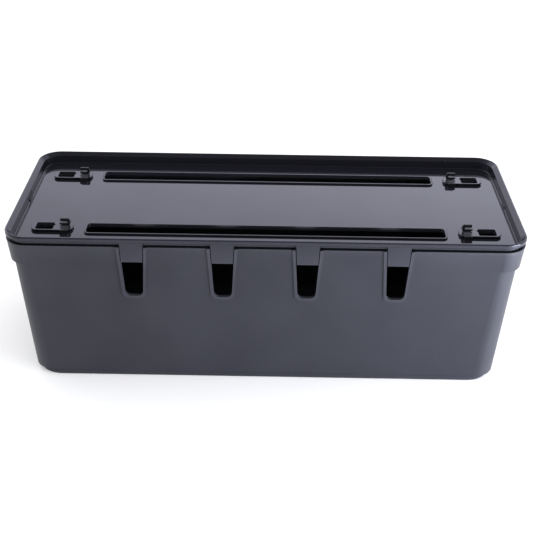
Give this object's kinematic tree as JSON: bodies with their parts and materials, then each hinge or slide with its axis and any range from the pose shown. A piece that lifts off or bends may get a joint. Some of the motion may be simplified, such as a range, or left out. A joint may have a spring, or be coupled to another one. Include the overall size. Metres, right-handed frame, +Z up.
{
  "type": "lidded cable management box",
  "caption": "Long tapered plastic box with a recessed lift-off lid, cable notches in the front, slots in the lid and four small sliding cable hooks, for hiding a power strip.",
  "frame": {"origin": "bottom centre of the box, on the plane of the four pads", "axes": "+X along the length, +Y from the notched front to the back, +Z up"},
  "size_m": [0.4, 0.1616, 0.1325],
  "materials": {
    "body": "satin black injection-moulded plastic",
    "lid": "semi-gloss black injection-moulded plastic",
    "hook": "semi-gloss black plastic",
    "pad": "matt black rubber"
  },
  "bodies": {
    "box": {"box_body": "body", "pad_front_left": "pad", "pad_front_right": "pad", "pad_back_left": "pad", "pad_back_right": "pad"},
    "lid": {"lid": "lid"},
    "hook_front_left": {"hook_front_left": "hook"},
    "hook_front_right": {"hook_front_right": "hook"},
    "hook_back_left": {"hook_back_left": "hook"},
    "hook_back_right": {"hook_back_right": "hook"}
  },
  "joints": [
    {"name": "lid_lift", "type": "slide", "parent": "box", "child": "lid", "axis": [0, 0, 1], "range_m": [0, 0.08]},
    {"name": "hook_front_left_slide", "type": "slide", "parent": "lid", "child": "hook_front_left", "axis": [-1, 0, 0], "range_m": [0, 0.016]},
    {"name": "hook_front_right_slide", "type": "slide", "parent": "lid", "child": "hook_front_right", "axis": [1, 0, 0], "range_m": [0, 0.016]},
    {"name": "hook_back_left_slide", "type": "slide", "parent": "lid", "child": "hook_back_left", "axis": [-1, 0, 0], "range_m": [0, 0.016]},
    {"name": "hook_back_right_slide", "type": "slide", "parent": "lid", "child": "hook_back_right", "axis": [1, 0, 0], "range_m": [0, 0.016]}
  ]
}
